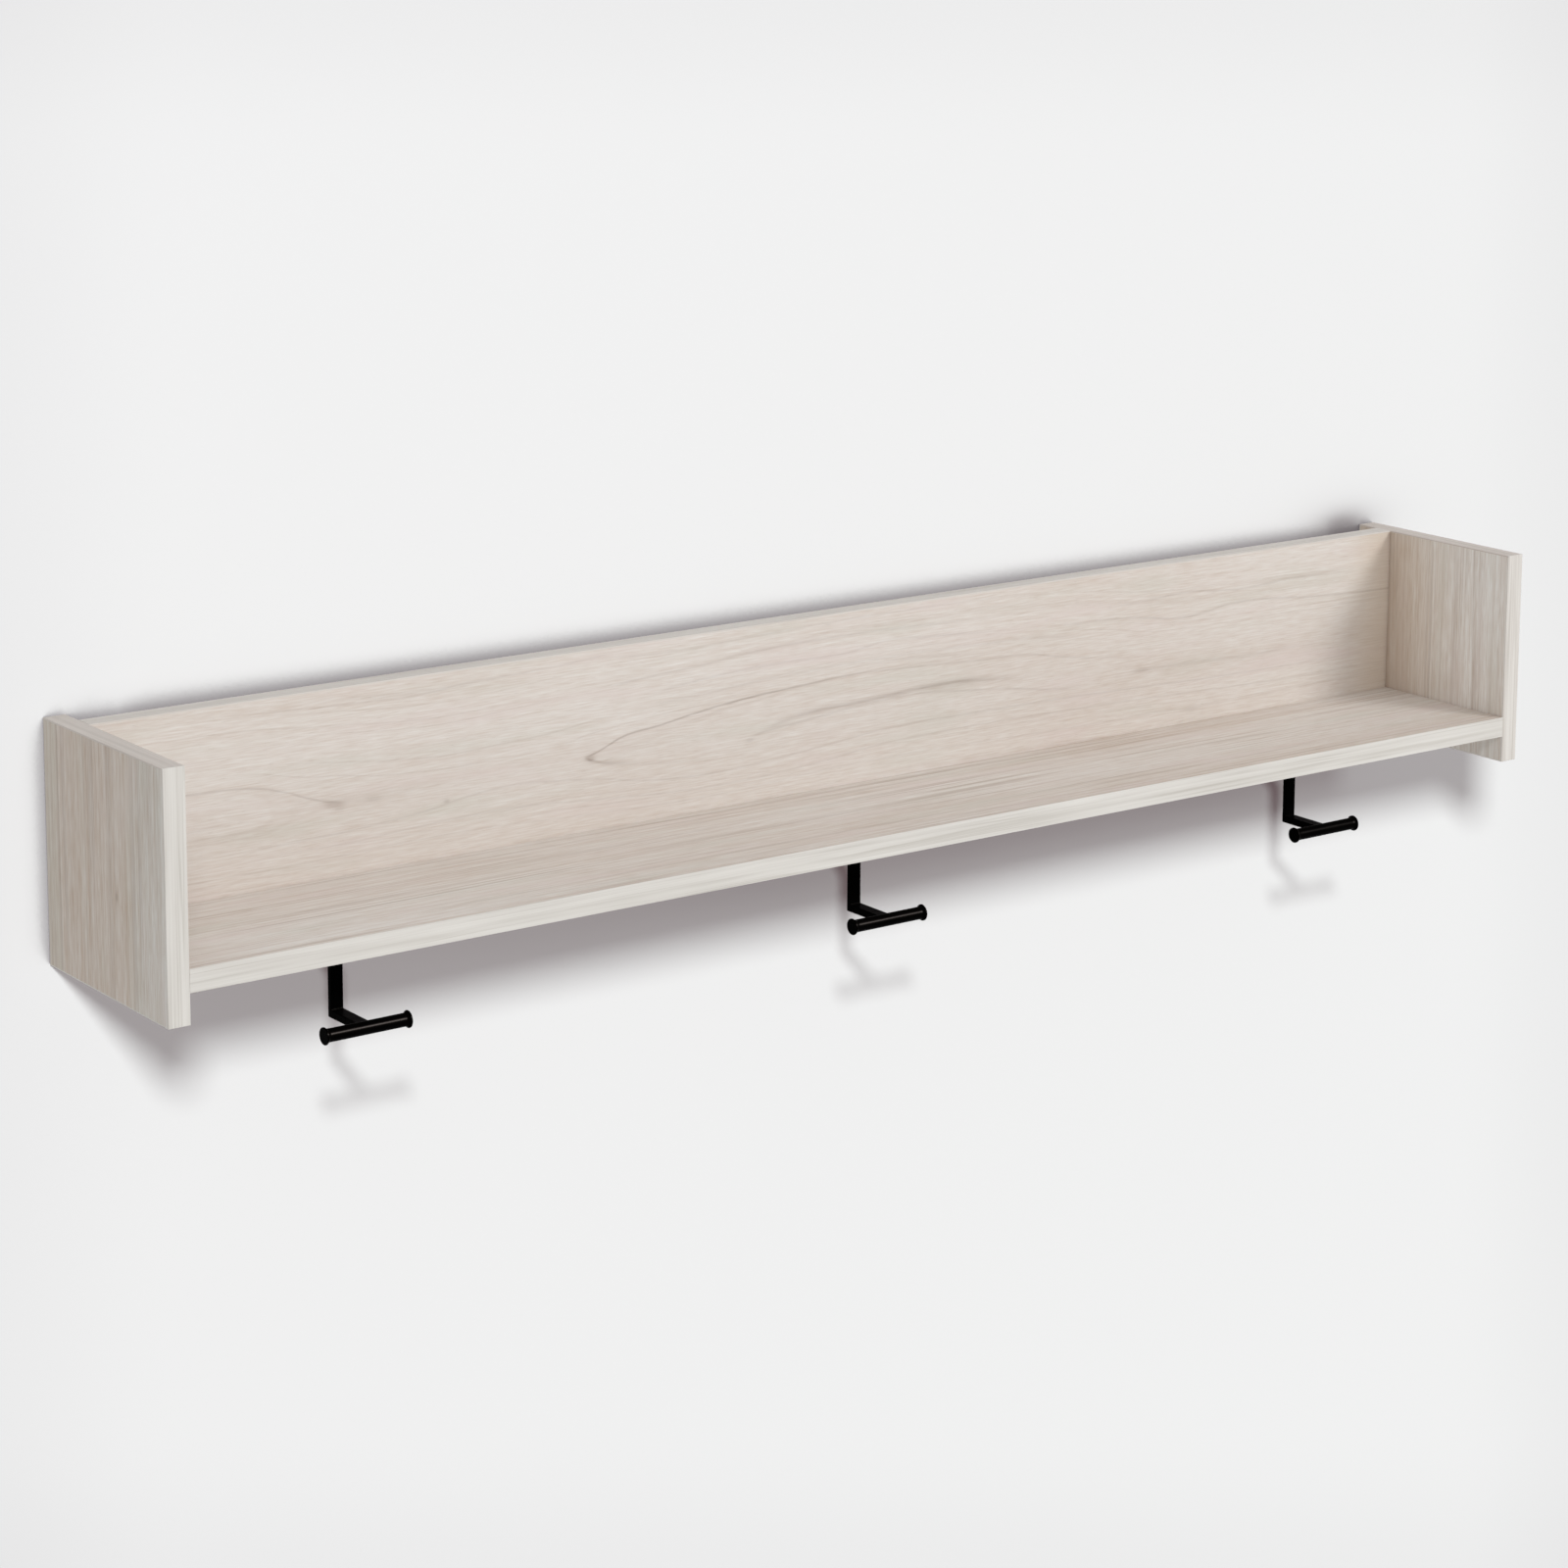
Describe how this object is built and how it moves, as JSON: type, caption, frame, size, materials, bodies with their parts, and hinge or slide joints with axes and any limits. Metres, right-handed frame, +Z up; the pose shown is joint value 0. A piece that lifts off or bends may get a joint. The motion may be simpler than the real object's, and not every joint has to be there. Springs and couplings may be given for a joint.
{
  "type": "wall coat rack",
  "caption": "Wall coat rack: a long open-topped shelf box of pale wood-look board that hangs on a bevelled wall rail, with black T-shaped hooks under the shelf.",
  "frame": {"origin": "middle of the wall rail's screw line, on the wall plane", "axes": "+X along the rack, to the right as seen from the room; +Y into the wall; +Z up"},
  "size_m": [1.219, 0.17, 0.2181],
  "materials": {
    "faced_board": "matt wood-look decor face on particle board",
    "edge_band": "matt wood-look edge strip",
    "beech": "plain turned beech",
    "rail_plywood": "sanded plywood",
    "zinc": "die-cast zinc alloy",
    "plated_steel": "bright zinc plate",
    "cap_plastic": "moulded, coloured like the board",
    "black_coat": "satin black powder coat"
  },
  "bodies": {
    "root": {"back_joint_dowels": "beech", "back_joint_screws": "plated_steel", "back_panel": "faced_board", "back_panel_edge_bands": "edge_band", "cam_cover_caps": "cap_plastic", "left_cam_locks": "zinc", "left_connecting_bolts": "plated_steel", "left_end_dowels": "beech", "left_hook_bar": "black_coat", "left_hook_bracket": "black_coat", "left_hook_screws": "black_coat", "left_side_edge_bands": "edge_band", "left_side_panel": "faced_board", "middle_hook_bar": "black_coat", "middle_hook_bracket": "black_coat", "middle_hook_screws": "black_coat", "rack_rail": "rail_plywood", "rack_rail_screws": "plated_steel", "right_cam_locks": "zinc", "right_connecting_bolts": "plated_steel", "right_end_dowels": "beech", "right_hook_bar": "black_coat", "right_hook_bracket": "black_coat", "right_hook_screws": "black_coat", "right_side_edge_bands": "edge_band", "right_side_panel": "faced_board", "shelf_board": "faced_board", "shelf_front_edge_band": "edge_band", "wall_rail": "rail_plywood"}
  },
  "joints": []
}
